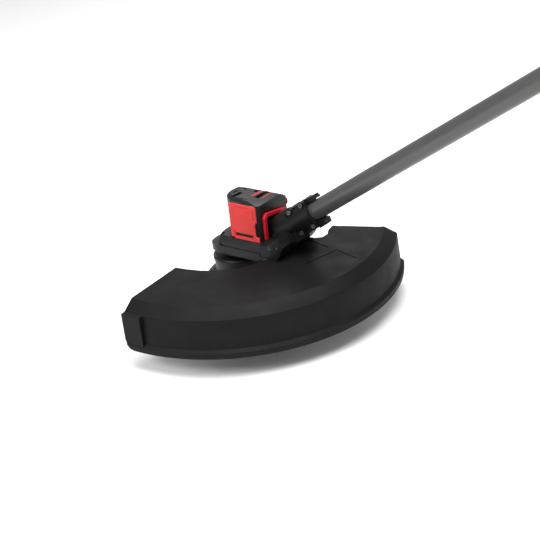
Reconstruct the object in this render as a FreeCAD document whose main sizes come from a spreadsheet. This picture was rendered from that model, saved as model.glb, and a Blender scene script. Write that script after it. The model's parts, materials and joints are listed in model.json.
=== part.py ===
import FreeCAD, Part
import math
import os
import re
import Sketcher

# Battery string trimmer.  Millimetres, +Z up.  The origin is the centre of the bump
# knob's rubbing face, on the spindle axis; +Y is the cutting direction and the shaft
# rises towards -Y.  "Shaft" pieces are drawn with their own Z along the shaft, X
# across it and Y square to it, pointing up and forward.

V = FreeCAD.Vector

DIMENSIONS = {
    # shaft
    "shaft_rise": 33.67, "shaft_foot_y": 7.0, "shaft_foot_z": 60.5,
    "tube_radius": 12.7, "tube_wall": 1.5, "tube_start": 112.0, "tube_end": 1338.0,
    "cable_radius": 3.2, "cable_start": 96.0, "cable_end": 1352.0,
    # guard
    "guard_centre": 7.0, "lip_radius": 233.75, "lip_bottom": 30.0, "lip_top": 37.7,
    "ledge_radius": 229.0, "ledge_top": 41.5, "wall_radius": 226.1, "wall_top": 80.9,
    "band_radius": 208.5, "deck_top": 92.3, "skin": 3.0, "neck_half": 38.0,
    "guard_hole": 2.6, "guard_screw_x": 27.0, "guard_screw_front": 78.0, "guard_screw_rear": 88.0,
    "neck_front": 78.5,
    # gearcase
    "case_bottom": 83.0, "case_split": 94.0, "case_top": 110.5, "case_front": 28.0,
    "case_half": 44.0, "case_corner": 27.0, "boss_radius": 17.0, "boss_bottom": 75.0,
    "tier_bottom": 98.0, "tier_front": 14.0, "tier_corner": 24.0, "tier_bevel": 6.5,
    "cover_half": 43.0, "cheek_start": 72.0, "case_rear": 101.0, "block_rear": 108.0,
    "block_top": 127.0, "channel_half": 20.0, "channel_front": 74.0, "channel_floor": 103.0,
    "gear_room": 25.5, "pinion_room": 10.0, "gear_floor": 86.0, "screw_seat": 103.0,
    # gears and shafts
    "motor_offset": 30.0, "gear_module": 1.0, "gear_teeth": 45, "pinion_teeth": 15,
    "backlash": 0.3, "gear_bottom": 87.0, "gear_thick": 6.0, "spindle_radius": 5.0,
    "motor_shaft_radius": 3.0, "running_gap": 0.05, "spindle_top": 103.0,
    "spindle_seat": 95.5, "motor_seat": 102.5, "motor_top_seat": 154.5,
    "lower_race": 13.0, "upper_race": 11.0, "motor_race": 8.5,
    # motor box
    "box_half": 35.0, "box_rear": 66.0, "box_top": 150.0, "front_radius": 33.0,
    "box_wall": 2.5, "panel_thick": 2.0, "panel_front": 18.0, "panel_rear": 63.6,
    "panel_step": 60.2, "panel_foot": 65.7, "panel_top_left": 162.5, "panel_top_right": 148.5,
    "cover_shoulder": 163.0, "cover_top": 166.3,
    "stator_radius": 27.0, "stator_bore": 15.5, "stator_bottom": 117.0, "stator_top": 143.0,
    # arch, yoke and clamp
    "arch_half": 27.0, "arch_band": 5.5, "arch_left_top": 148.7, "arch_right_top": 141.0,
    "arch_depth": 4.5,
    "yoke_half": 19.4, "collar_radius": 18.5, "collar_start": 137.0, "collar_end": 172.0,
    "clamp_gap": 0.4, "bolt_offset": 15.9, "bolt_first": 142.0, "bolt_second": 166.0, "bolt_radius": 2.0,
    # cutting head
    "head_radius": 52.0, "neck_radius": 38.0, "hub_radius": 30.0, "head_top": 74.0,
    "head_split": 18.0, "head_wall": 2.6, "knob_radius": 33.0, "knob_lip": 26.5,
    "spool_radius": 43.0, "spool_core": 20.0, "bump_travel": 5.0, "line_radius": 1.2,
    # front handle and hanger
    "handle_at": 880.0, "loop_radius": 56.0, "loop_rise": 66.0, "bar_radius": 8.5, "grip_radius": 12.5,
    "saddle_length": 46.0, "hanger_at": 1130.0, "eye_radius": 9.0, "eye_wire": 3.0,
    # rear housing
    "nose_start": 1285.0, "nose_end": 1352.0, "grip_end": 1464.0, "block_start": 1478.0,
    "block_end": 1560.0, "nose_half": 22.0, "grip_half": 17.0, "rear_half": 38.0, "shell": 2.6,
    "block_up": 42.0, "block_down": 52.0, "pack_length": 72.0, "pack_half": 38.5,
}

FUNCTIONS = ("sin", "cos", "tan", "sqrt")
doc = FreeCAD.newDocument("StringTrimmer")
sheet = doc.addObject("Spreadsheet::Sheet", "Dims")
for row, (alias, number) in enumerate(DIMENSIONS.items(), start=1):
    sheet.set("A%d" % row, alias)
    sheet.set("B%d" % row, str(number))
    sheet.setAlias("B%d" % row, alias)
doc.recompute()

PIECES = []


def bound(text):
    """An expression in sheet aliases, with the sheet's name put before each alias."""
    def name(match):
        word = match.group(0)
        return word if word in FUNCTIONS else "Dims." + word
    return re.sub(r"[a-z][a-z_]+", name, str(text))


def value(text):
    """What an expression in sheet aliases comes to now."""
    return float(sheet.evalExpression(bound(text)))


FRAMES = {
    "ground": ("0", "0", "0", "0"),
    "guard": ("0", "guard_centre", "0", "0"),
    "motor": ("0", "-motor_offset", "0", "0"),
    "shaft": ("0", "shaft_foot_y", "shaft_foot_z", "90 - shaft_rise"),
}


def place(thing, frame):
    """Put an object in one of the frames, turned about X only."""
    x, y, z, angle = FRAMES[frame]
    turn = FreeCAD.Rotation(V(1, 0, 0), value(angle))
    thing.Placement = FreeCAD.Placement(V(value(x), value(y), value(z)), turn)
    for path, text in (("Base.y", y), ("Base.z", z)):
        if text != "0":
            thing.setExpression("Placement." + path, bound(text))
    if angle != "0":
        thing.setExpression("Placement.Rotation.Angle", bound(angle))


def on_shaft(y, z):
    """Ground-frame y, z as the shaft frame's own square and lengthwise distances."""
    across = "(%s - shaft_foot_y) * sin(shaft_rise) + (%s - shaft_foot_z) * cos(shaft_rise)" % (y, z)
    along = "(shaft_foot_y - (%s)) * cos(shaft_rise) + (%s - shaft_foot_z) * sin(shaft_rise)" % (y, z)
    return across, along


def circle(u, v, radius):
    return ("circle", u, v, radius)


def box(u_low, v_low, u_high, v_high):
    return [(u_low, v_low), (u_high, v_low), (u_high, v_high), (u_low, v_high)]


class Piece:
    """One sub-part: a body built from sketches on its own origin planes."""

    def __init__(self, label, frame="ground"):
        self.body = doc.addObject("PartDesign::Body", label)
        self.body.Label = label
        self.body.AllowCompound = True
        PIECES.append(self.body)
        place(self.body, frame)

    def sketch(self, plane, loops, shift="0", turn=0):
        origin = [f for f in self.body.Origin.OriginFeatures if f.Role == plane + "_Plane"][0]
        sk = self.body.newObject("Sketcher::SketchObject", "Outline")
        sk.AttachmentSupport = [(origin, "")]
        sk.MapMode = "FlatFace"
        turned = FreeCAD.Rotation(V(0, 1, 0), turn)
        sk.AttachmentOffset = FreeCAD.Placement(V(0, 0, value(shift)), turned)
        if str(shift) != "0":
            sk.setExpression("AttachmentOffset.Base.z", bound(shift))
        for loop in loops:
            if loop[0] == "circle":
                draw_circle(sk, *loop[1:])
            else:
                draw_polygon(sk, loop)
        return sk

    def feature(self, kind, sk, **settings):
        made = self.body.newObject("PartDesign::" + kind, kind)
        made.Profile = sk
        for name, setting in settings.items():
            setattr(made, name, setting)
        return made

    def pad(self, plane, loops, low, high, taper=0):
        """Material between two heights along the plane's positive axis."""
        shift = "-(%s)" % high if plane == "XZ" else low
        sk = self.sketch(plane, loops, shift)
        made = self.feature("Pad", sk, Length=value("(%s) - (%s)" % (high, low)))
        made.setExpression("Length", bound("(%s) - (%s)" % (high, low)))
        made.TaperAngle = taper
        return self

    def cut(self, plane, loops, low, high, taper=0):
        """No material between two heights along the plane's positive axis."""
        shift = "-(%s)" % low if plane == "XZ" else high
        sk = self.sketch(plane, loops, shift)
        made = self.feature("Pocket", sk, Length=value("(%s) - (%s)" % (high, low)))
        made.setExpression("Length", bound("(%s) - (%s)" % (high, low)))
        made.TaperAngle = taper
        return self

    def turned(self, profile, angle=360, start=0):
        """Material turned about the frame's Z from points of (radius, height)."""
        sk = self.sketch("XZ", [profile], turn=start)
        made = self.feature("Revolution", sk, ReferenceAxis=(sk, ["V_Axis"]))
        made.Angle = angle
        return self

    def around(self, count, features=1):
        """The last features repeated evenly about the frame's Z."""
        axis = [f for f in self.body.Origin.OriginFeatures if f.Role == "Z_Axis"][0]
        kinds = ("PartDesign::Pad", "PartDesign::Pocket", "PartDesign::Revolution", "PartDesign::Groove")
        made = [f for f in self.body.Group if f.TypeId in kinds][-features:]
        pattern = self.body.newObject("PartDesign::PolarPattern", "Pattern")
        pattern.Originals = made
        pattern.Axis = (axis, [""])
        pattern.Angle = 360
        pattern.Occurrences = int(count)
        self.body.Tip = pattern
        return self

    def edges(self, kind, size, pick):
        """Round or bevel the edges whose middle the test picks, in the body's own frame."""
        doc.recompute()
        tip = self.body.Tip
        names = []
        for number, edge in enumerate(tip.Shape.Edges, start=1):
            middle = edge.valueAt((edge.FirstParameter + edge.LastParameter) / 2)
            if pick(middle, edge):
                names.append("Edge%d" % number)
        if not names:
            raise RuntimeError(self.body.Label + ": no edge picked")
        made = self.body.newObject("PartDesign::" + kind, kind)
        made.Base = (tip, names)
        path = "Radius" if kind == "Fillet" else "Size"
        setattr(made, path, value(size))
        if str(size) != str(value(size)):
            made.setExpression(path, bound(size))
        return self

    def round(self, size, pick):
        return self.edges("Fillet", size, pick)

    def bevel(self, size, pick):
        return self.edges("Chamfer", size, pick)


def pin_down(sk, kind, geometry, point, text):
    """Hold a sketch point at a distance from the sketch's origin."""
    index = sk.addConstraint(Sketcher.Constraint(kind, -1, 1, geometry, point, value(text)))
    if re.search("[a-z]", str(text)):
        sk.setExpression("Constraints[%d]" % index, bound(text))


def draw_polygon(sk, points):
    first = sk.GeometryCount
    corners = [V(value(u), value(v), 0) for u, v in points]
    for number, corner in enumerate(corners):
        sk.addGeometry(Part.LineSegment(corner, corners[(number + 1) % len(corners)]), False)
    for number, (u, v) in enumerate(points):
        after = first + (number + 1) % len(points)
        sk.addConstraint(Sketcher.Constraint("Coincident", first + number, 2, after, 1))
        pin_down(sk, "DistanceX", first + number, 1, u)
        pin_down(sk, "DistanceY", first + number, 1, v)


def draw_circle(sk, u, v, radius):
    index = sk.addGeometry(Part.Circle(V(value(u), value(v), 0), V(0, 0, 1), value(radius)), False)
    pin_down(sk, "DistanceX", index, 3, u)
    pin_down(sk, "DistanceY", index, 3, v)
    held = sk.addConstraint(Sketcher.Constraint("Radius", index, value(radius)))
    if re.search("[a-z]", str(radius)):
        sk.setExpression("Constraints[%d]" % held, bound(radius))


def shaped(label, shape, frame="ground"):
    """A sub-part whose shape neither sketches nor primitives suit."""
    thing = doc.addObject("Part::Feature", label)
    thing.Label = label
    thing.Shape = shape
    place(thing, frame)
    PIECES.append(thing)
    return thing


# ---------------------------------------------------------------- guard

def make_guard():
    guard = Piece("guard", "guard")
    guard.turned([
        ("lip_radius", "lip_bottom"), ("lip_radius", "lip_top"),
        ("ledge_radius", "ledge_top"), ("wall_radius", "wall_top"),
        ("band_radius", "deck_top"), ("48", "deck_top"), ("48", "deck_top - skin"),
        ("band_radius - 0.9", "deck_top - skin"), ("wall_radius - skin", "wall_top - 1.7"),
        ("ledge_radius - skin", "ledge_top - 1"), ("lip_radius - 4.2", "lip_top - 2"),
        ("lip_radius - 4.2", "lip_bottom")])
    soften_guard(guard)
    # the left end of the wall is a solid block, flush with the lip; the right end follows the wall
    guard.turned(box("wall_radius - skin", "lip_bottom", "lip_radius - 0.6", "wall_top"), angle=10,
                 start=-185)
    guard.turned([("wall_radius - 8", "lip_bottom"), ("lip_radius - 0.6", "lip_bottom"),
                  ("lip_radius - 0.6", "lip_top - 0.6"), ("ledge_radius - 0.6", "ledge_top - 0.6"),
                  ("wall_radius - 0.6", "wall_top - 4"), ("wall_radius - 8", "wall_top - 4")],
                 angle=8, start=-64)
    guard.cut("XY", [guard_opening()], "0", "120")
    guard.cut("YZ", [rounded_foot()], "-240", "-210")
    guard_recesses(guard)
    guard_ribs(guard)
    holes = [circle(x, "%s - guard_centre" % y, "guard_hole") for x, y in guard_screw_spots()]
    guard.cut("XY", holes, "60", "100")
    guard.cut("YZ", [circle(y, "40", 1.55) for y in cutter_screw_spots()], "-230", "-215")
    return guard


def cutter_screw_spots():
    return ("-6", "4")


def rounded_foot():
    """What the left end block loses at its lower corner."""
    return [("10", "28"), ("-3.2", "28"), ("-3.2", "lip_bottom"), ("3", "lip_bottom + 1.6"),
            ("7.2", "lip_bottom + 5.8"), ("8.9", "lip_bottom + 12"), ("10", "lip_bottom + 12")]


def guard_opening():
    """Plan of all that the guard leaves open, from its left end round to its right end."""
    return [
        ("-lip_radius - 16", "8.8"), ("-115", "14"), ("-113", "-2"), ("-108", "-24"),
        ("-98", "-46"), ("-82", "-66"), ("-62", "-80"), ("-neck_half - 3", "-87"),
        ("-neck_half", "-84"), ("-neck_half", "-neck_front"), ("neck_half", "-neck_front"),
        ("neck_half", "-98"), ("neck_half + 2", "-110"), ("neck_half + 8", "-117"),
        ("neck_half + 19", "-118"), ("neck_half + 30", "-112"), ("83", "-109"),
        ("106", "-172"), ("130", "-207"), ("lip_radius + 30", "-lip_radius - 30"),
        ("lip_radius + 30", "lip_radius + 30"), ("-lip_radius - 30", "lip_radius + 30"),
        ("-lip_radius - 30", "8.6")]


def guard_recesses(guard):
    """A shallow chevron ramp behind the neck and a sunk label panel, both under 1 mm deep."""
    guard.cut("XY", [[("31", "-107"), ("-2", "-107"), ("-12", "-128"), ("6", "-150"), ("23", "-142")]],
              "deck_top - 0.8", "deck_top + 1")
    tilt, half_long, half_wide = 15, 28.0, 20.2
    middle = V(-11.5, -169, 0)
    turn = FreeCAD.Rotation(V(0, 0, 1), -tilt)
    corners = [middle + turn.multVec(V(a * half_long, b * half_wide, 0))
               for a, b in ((-1, -1), (1, -1), (1, 1), (-1, 1))]
    panel = [("%.3f" % c.x, "%.3f" % c.y) for c in corners]
    guard.cut("XY", [panel], "deck_top - 0.7", "deck_top + 1")


def guard_ribs(guard):
    """Stiffening ribs under the deck."""
    low, high = "deck_top - skin - 6", "deck_top - skin + 0.5"
    for angle in (-78, -58, -38, -18, 2, 22):
        turn = FreeCAD.Rotation(V(0, 0, 1), angle)
        outline = ((-1.2, -150), (1.2, -150), (1.2, -207), (-1.2, -207))
        corners = [turn.multVec(V(x, y, 0)) for x, y in outline]
        guard.pad("XY", [[("%.3f" % c.x, "%.3f" % c.y) for c in corners]], low, high)


def soften_guard(guard):
    top, deck, wall = value("wall_top"), value("deck_top"), value("wall_radius")
    band = value("band_radius")

    def rim(middle, edge):
        radius = math.hypot(middle.x, middle.y)
        on_wall = abs(middle.z - top) < 0.1 and abs(radius - wall) < 0.3
        on_deck = abs(middle.z - deck) < 0.1 and abs(radius - band) < 0.3
        return on_wall or on_deck
    guard.round("2.2", rim)


def make_guard_fittings():
    spots = guard_screw_spots()
    screws = Piece("guard_screws")
    screws.pad("XY", [circle(x, y, 2) for x, y in spots], "deck_top - skin", "deck_top + 8")
    screws.pad("XY", [circle(x, y, 4.2) for x, y in spots], "deck_top - skin - 3", "deck_top - skin")
    blade = Piece("line_cutter", "guard")
    blade.pad("YZ", [[("-11", "33"), ("8", "33"), ("8", "50"), ("-11", "46")]], "-222.2", "-220.7")
    spots = cutter_screw_spots()
    blade.cut("YZ", [circle(y, "40", 1.6) for y in spots], "-224", "-219")
    fixings = Piece("cutter_screws", "guard")
    fixings.pad("YZ", [circle(y, "40", 1.5) for y in spots], "-229", "-220.7")
    fixings.pad("YZ", [circle(y, "40", 2.8) for y in spots], "-220.7", "-218.9")


# ---------------------------------------------------------------- gearcase

def make_gearcase():
    case = Piece("gearcase")
    case.pad("XY", [box("-case_half", "-case_rear", "case_half", "case_front")], "case_bottom",
             "case_split")
    case.round("case_corner", upright("case_half", "case_front"))
    bottom = value("case_bottom")
    case.bevel("4", lambda middle, edge: abs(middle.z - bottom) < 0.1 and middle.y > -90)
    # the underside slopes up behind the cutting head to sit on the guard's neck
    under = [("-57", "case_bottom - 5"), ("-57", "case_bottom"), ("-71", "deck_top"),
             ("-94", "deck_top"),
             ("-101", "100"), ("-130", "100"), ("-130", "case_bottom - 5")]
    case.cut("YZ", [under], "-60", "60")
    case.pad("XY", [circle("0", "0", "boss_radius")], "boss_bottom", "gear_floor")
    case.cut("XY", [circle("0", "0", "gear_room")], "gear_floor", "case_split")
    case.cut("XY", [circle("0", "-motor_offset", "pinion_room")], "gear_floor", "case_split")
    case.cut("XY", [circle("0", "0", "lower_race")], "boss_bottom + 1", "gear_floor")
    case.cut("XY", [circle("0", "0", "spindle_radius + 1.5")], "boss_bottom", "boss_bottom + 1")
    case.cut("XY", [circle(x, y, 2.05) for x, y in case_screw_spots()], "gear_floor + 0.5", "case_split")
    case.cut("XY", [circle(x, y, 2.05) for x, y in guard_screw_spots()], "deck_top", "case_split")
    return case


def upright(half, front):
    """Picks the two upright edges at the front corners of a block."""
    x, y = value(half), value(front)

    def test(middle, edge):
        in_corner = abs(abs(middle.x) - x) < 0.1 and abs(middle.y - y) < 0.1
        return in_corner and edge.BoundBox.ZLength > 1
    return test


def guard_screw_spots():
    return [(side + "guard_screw_x", "-guard_screw_" + end)
            for side in ("", "-") for end in ("front", "rear")]


def case_screw_spots():
    return [("30", "4"), ("-30", "4"), ("30.5", "-53"), ("-30.5", "-53")]


def make_gearcase_cover():
    cover = Piece("gearcase_cover")
    back = "-cheek_start + 4"
    cover.pad("XY", [box("-cover_half", back, "cover_half", "tier_front")], "case_split", "case_top")
    cover.round("tier_corner", upright("cover_half", "tier_front"))
    top, rear = value("case_top"), value(back)
    cover.bevel("tier_bevel", lambda middle, edge: abs(middle.z - top) < 0.1 and middle.y > rear + 1)
    cover.pad("XY", [box("-case_half", back, "case_half", "case_front")], "case_split", "tier_bottom")
    cover.round("case_corner", upright("case_half", "case_front"))
    slope = [("case_front", "case_split"), ("tier_front", "tier_bottom"),
             ("tier_front", "tier_bottom + 5"),
             ("case_front + 5", "tier_bottom + 5"), ("case_front + 5", "case_split")]
    cover.cut("YZ", [slope], "-60", "60")
    # cheeks beside the yoke rise from the level under the motor box
    cheeks = [(back, "case_split"), ("-95.5", "case_split"), ("-101", "100"), ("-block_rear", "114"),
              ("-100", "block_top"), ("-81", "case_top + 1.5"), ("-cheek_start", "case_top"),
              (back, "case_top")]
    cover.pad("YZ", [cheeks], "-cover_half", "cover_half")
    cover.cut("XY", [box("-channel_half", "-140", "channel_half", "-channel_front")],
              "channel_floor", "block_top + 5")
    bore_cover(cover)
    screws = Piece("gearcase_screws")
    spots = case_screw_spots()
    screws.pad("XY", [circle(x, y, 2) for x, y in spots], "gear_floor + 1", "screw_seat")
    screws.pad("XY", [circle(x, y, 3.3) for x, y in spots], "screw_seat", "screw_seat + 2.8")
    screws.cut("XY", [circle(x, y, 1.3) for x, y in spots], "screw_seat + 1.3", "screw_seat + 2.8")


def bore_cover(cover):
    """Seats for the upper spindle bearing and the lower motor bearing, and the screw holes."""
    cover.cut("XY", [circle("0", "0", "upper_race")], "case_split", "spindle_seat + 6")
    cover.cut("XY", [circle("0", "0", "spindle_radius + 1.5")], "spindle_seat + 6", "spindle_top + 0.4")
    cover.cut("XY", [circle("0", "-motor_offset", "motor_race + 0.3")], "case_split", "motor_seat")
    cover.cut("XY", [circle("0", "-motor_offset", "motor_race")], "motor_seat", "motor_seat + 6")
    cover.cut("XY", [circle("0", "-motor_offset", "motor_shaft_radius + 2")], "motor_seat + 6",
              "case_top")
    spots = case_screw_spots()
    cover.cut("XY", [circle(x, y, 2.1) for x, y in spots], "case_split", "screw_seat")
    cover.cut("XY", [circle(x, y, 3.5) for x, y in spots], "screw_seat", "case_top")
    cover.cut("XY", [circle(x, y, 2.05) for x, y in guard_screw_spots()], "case_split", "deck_top + 9")
    cover.cut("YZ", [circle(y, z, 2.6) for y, z in yoke_bolt_spots()], "-60", "60")


def yoke_bolt_spots():
    return [("-84", "108.5"), ("-97", "111")]


# ---------------------------------------------------------------- gears and shafts

def gear_shape(teeth, bore, low, thick):
    """A spur gear with involute flanks, one tooth centred on -Y."""
    module = value("gear_module")
    pitch = module * teeth / 2
    base = pitch * math.cos(math.radians(20))
    tip, root = pitch + 0.85 * module, pitch - 1.15 * module
    half_tooth = math.pi / (2 * teeth) - value("backlash") / (4 * pitch)
    roll = math.tan(math.radians(20)) - math.radians(20)

    def flank(radius):
        lean = math.acos(min(1.0, base / radius))
        return half_tooth + roll - (math.tan(lean) - lean)
    steps = 4
    start = max(base, root)
    radii = [start + (tip - start) * k / steps for k in range(steps + 1)]
    points = []
    for tooth in range(teeth):
        middle = 2 * math.pi * tooth / teeth - math.pi / 2
        rising = [(root, -flank(start))] + [(r, -flank(r)) for r in radii]
        falling = [(r, flank(r)) for r in reversed(radii)] + [(root, flank(start))]
        sides = rising + falling
        points += [V(r * math.cos(middle + a), r * math.sin(middle + a), low) for r, a in sides]
    face = Part.Face(Part.makePolygon(points + points[:1]))
    body = face.extrude(V(0, 0, thick))
    return body.cut(Part.makeCylinder(bore, thick + 2, V(0, 0, low - 1)))


def make_drive_train():
    spindle_bore, motor_bore = "spindle_radius + running_gap", "motor_shaft_radius + running_gap"
    spindle = Piece("spindle")
    spindle.pad("XY", [circle("0", "0", "spindle_radius")], "46", "spindle_top")
    low, thick = value("gear_bottom"), value("gear_thick")
    shaped("drive_gear", gear_shape(int(value("gear_teeth")), value("spindle_radius"), low, thick))
    pinion = gear_shape(int(value("pinion_teeth")), value("motor_shaft_radius"), low - 0.5, thick + 1)
    shaped("pinion", pinion, "motor")
    bearing("spindle_bearing_lower", "ground", spindle_bore, "lower_race",
            "boss_bottom + 1", "boss_bottom + 9")
    bearing("spindle_bearing_upper", "ground", spindle_bore, "upper_race",
            "spindle_seat", "spindle_seat + 6")
    pair = bearing("motor_bearings", "motor", motor_bore, "motor_race", "motor_seat", "motor_seat + 6")
    bearing_ring(pair, motor_bore, "motor_race", "motor_top_seat", "motor_top_seat + 5")


def bearing(label, frame, bore, outer, low, high):
    """A shielded ball bearing: one ring of material with a shallow step on each face."""
    race = Piece(label, frame)
    bearing_ring(race, bore, outer, low, high)
    return race


def bearing_ring(race, bore, outer, low, high):
    inner, rim, step = "(%s) + 1.6" % bore, "(%s) - 1.6" % outer, "(%s) + 0.4" % low
    lip = "(%s) - 0.4" % high
    race.turned([(bore, low), (inner, low), (inner, step), (rim, step), (rim, low), (outer, low),
                 (outer, high), (rim, high), (rim, lip), (inner, lip), (inner, high), (bore, high)])


def make_motor():
    shaft = Piece("motor_shaft", "motor")
    low, high = "gear_bottom - 0.7", "motor_top_seat + 5.7"
    shaft.turned([("0", low), ("motor_shaft_radius", low), ("motor_shaft_radius", high), ("0", high)])
    rotor = Piece("rotor", "motor")
    rotor.turned([("motor_shaft_radius", "stator_bottom"), ("stator_bore - 0.6", "stator_bottom"),
                  ("stator_bore - 0.6", "stator_top"), ("motor_shaft_radius", "stator_top")])
    slot = box("2.2", "stator_bore - 3.6", "4.4", "stator_bore - 2.4")
    rotor.cut("XY", [slot], "stator_top - 4", "stator_top").around(6)
    fan = Piece("cooling_fan", "motor")
    fan.turned([("motor_shaft_radius", "144.5"), ("24", "144.5"), ("24", "146"), ("7", "146"),
                ("7", "149.5"), ("motor_shaft_radius", "149.5")])
    fan.pad("XY", [box("-0.7", "6.5", "0.7", "23.5")], "146", "149.5").around(11)
    stator = Piece("stator", "motor")
    stator.turned([("stator_bore", "stator_bottom + 3"), ("stator_radius", "stator_bottom + 3"),
                   ("stator_radius", "stator_top - 3"), ("stator_bore", "stator_top - 3")])
    stator.turned([("stator_bore + 2", "stator_bottom"), ("stator_radius - 3", "stator_bottom"),
                   ("stator_radius - 3", "stator_top"), ("stator_bore + 2", "stator_top")])
    slot = box("-1.1", "stator_bore + 1.8", "1.1", "stator_radius - 2.8")
    stator.cut("XY", [slot], "stator_bottom", "stator_top").around(12)


def box_plan(inset="0"):
    """The motor box seen from above, without its rounded front."""
    side, rear = "box_half - (%s)" % inset, "box_rear - (%s)" % inset
    right = [("%s - 5" % side, "-(%s)" % rear), (side, "-(%s) + 5" % rear), (side, "-20"),
             ("%s - 7.5" % side, "-13")]
    left = [("-(%s)" % x, y) for x, y in reversed(right)]
    return left + right


def make_motor_box():
    low, high = "case_top", "box_top"
    housing = Piece("motor_housing")
    housing.pad("XY", [circle("0", "-motor_offset", "front_radius")], low, high)
    housing.pad("XY", [box_plan()], low, high)
    housing.cut("XY", [circle("0", "-motor_offset", "front_radius - box_wall")], low, high)
    housing.cut("XY", [box_plan("box_wall")], low, high)
    seat = [circle("0", "-motor_offset", "front_radius - 1"),
            circle("0", "-motor_offset", "stator_radius")]
    housing.pad("XY", seat, "stator_bottom + 4", "stator_bottom + 10")
    make_motor_cover()
    for label, low, high, top in (
            ("side_panel_right", "box_half", "box_half + panel_thick", "panel_top_right"),
            ("side_panel_left", "-box_half - panel_thick", "-box_half", "panel_top_left")):
        panel = Piece(label)
        panel.pad("YZ", [panel_outline(top)], low, high)
        panel.cut("YZ", [box("-55.5", "115.5", "-26", "120")], low, high)
    arch = Piece("arch_trim")
    arch.pad("XZ", [arch_outline()], "-box_rear - arch_depth", "-box_rear")


def panel_outline(top):
    foot = "case_top + 0.3"
    return [("-panel_front", foot), ("-panel_foot", foot), ("-panel_foot", "case_top + 6.7"),
            ("-panel_step", "case_top + 8.1"), ("-panel_step", "136.5"), ("-panel_rear", "140"),
            ("-panel_rear", top + " - 2.5"), ("-panel_rear + 2.5", top), ("-panel_front", top)]


def arch_outline():
    """The arch seen from behind, its top lower on the right."""
    foot, left, right = "case_top + 0.5", "arch_left_top", "arch_right_top"
    inner = "arch_half - arch_band"
    outside = [("-arch_half", foot), ("-arch_half", left + " - 5.7"), ("-arch_half + 5.6", left),
               ("arch_half - 6.2", right), ("arch_half", right + " - 8.7"), ("arch_half", foot)]
    inside = [(inner, foot), (inner, right + " - 10"), (inner + " - 4", right + " - 4.8"),
              ("-(%s) + 3" % inner, left + " - 5.9"), ("-(%s)" % inner, left + " - 8.7"),
              ("-(%s)" % inner, foot)]
    return outside + inside


def make_motor_cover():
    cover = Piece("motor_cover")
    base, shoulder, top = "box_top", "cover_shoulder", "cover_top"
    cover.pad("XY", [circle("0", "-motor_offset", "front_radius")], base, shoulder)
    cover.pad("XY", [box_plan()], base, shoulder)
    cover.pad("XY", [circle("0", "-motor_offset", "front_radius - 1")], shoulder, top, taper=-60)
    cover.pad("XY", [box("-box_half + 2", "-box_rear + 2", "box_half - 2", "-34")], shoulder, top,
              taper=-45)
    # the top falls away to the right and to the rear, with a dip between dome and rear block
    right = [("-28", "cover_top + 0.5"), ("12", "163.6"), ("24", "158"), ("box_half + 0.5", "149.5"),
             ("50", "149.5"), ("50", "180"), ("-28", "180")]
    rear = [("-46", "cover_top"), ("-box_rear - 0.5", "cover_top - 4.5"), ("-80", "cover_top - 4.5"),
            ("-80", "180"), ("-46", "180")]
    cover.cut("XZ", [right], "-80", "20")
    cover.cut("YZ", [rear], "-60", "60")
    cover.cut("XY", [box("4", "-37", "40", "-31")], "161.5", "180")
    cover.cut("XY", [box("-14", "-53", "12", "-46")], "161.5", "180")
    cover.cut("XY", [box("11.9", "-53", "22", "-46")], "158.5", "180")
    hollow_cover(cover)
    cover.cut("XY", [box(*slot) for slot in vent_slots()], "159", "cover_top + 3")


def hollow_cover(cover):
    """Room above the fan and the seat of the upper motor bearing."""
    cover.cut("XY", [box_plan("2 * box_wall")], "box_top", "box_top + 2")
    cover.cut("XY", [circle("0", "-motor_offset", "24")], "box_top", "box_top + 3.5")
    cover.cut("XY", [circle("0", "-motor_offset", "15")], "box_top + 3.5", "box_top + 10")
    cover.pad("XY", [circle("0", "-motor_offset", "motor_race + 2.5")], "motor_top_seat", "box_top + 11")
    cover.cut("XY", [circle("0", "-motor_offset", "motor_race")], "motor_top_seat", "motor_top_seat + 5")
    cover.cut("XY", [circle("0", "-motor_offset", "motor_shaft_radius + 1")],
              "motor_top_seat + 5", "motor_top_seat + 6.3")


def vent_slots():
    """Plan boxes of the slots over the rounded front."""
    return [("-24", "-21.5", "-6", "-15.5"), ("-12", "-10.5", "-2", "-7.5"),
            ("6", "-15.5", "15", "-12.5")]


# ---------------------------------------------------------------- yoke, clamp and tube

def make_yoke():
    yoke = Piece("yoke", "shaft")
    floor, front = "channel_floor", "-channel_front - 0.3"
    arm = [on_shaft(y, z) for y, z in (
        ("-box_rear - 0.3", "case_top + 0.5"), ("-box_rear - 0.3", "134"), ("-71.5", "134.8"),
        ("-79", "144"), ("-94", "150"), ("-118.6", "117.5"), ("-108", floor + " + 3"),
        ("-104", floor), (front, floor),
        (front, "case_top + 0.5"))]
    foot = [on_shaft(y, z) for y, z in (
        (front, floor), (front, "118"), ("-100", "126"), ("-110", "114"), ("-104", floor))]
    yoke.pad("YZ", [arm], "-15", "15")
    yoke.pad("YZ", [foot], "-yoke_half", "yoke_half")
    yoke.pad("XY", [circle("0", "0", "collar_radius - 0.5")], "104", "collar_start - 0.2")
    yoke.cut("XY", [box("-30", "-40", "30", "40")], "collar_start - 0.2", "collar_start + 40")
    yoke.cut("XY", [circle("0", "0", "tube_radius")], "tube_start", "collar_start + 10")
    yoke.cut("XY", [circle("0", "0", "cable_radius + 1")], "80", "tube_start")
    spots = yoke_bolt_spots()
    yoke.cut("YZ", [circle(*on_shaft(y, z), 2.55) for y, z in spots], "-30", "30")
    bolts = Piece("yoke_bolts")
    end = "cover_half - 0.5"
    bolts.pad("YZ", [circle(y, z, 2.5) for y, z in spots], "-(%s)" % end, end)
    for low, high in (("-(%s)" % end, "-cover_half + 2.5"), ("cover_half - 2.5", end)):
        bolts.cut("YZ", [circle(y, z, 1.2) for y, z in spots], low, high)


def clamp_spots():
    return [(n, t) for n in ("bolt_offset", "-bolt_offset") for t in ("bolt_first", "bolt_second")]


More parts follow.
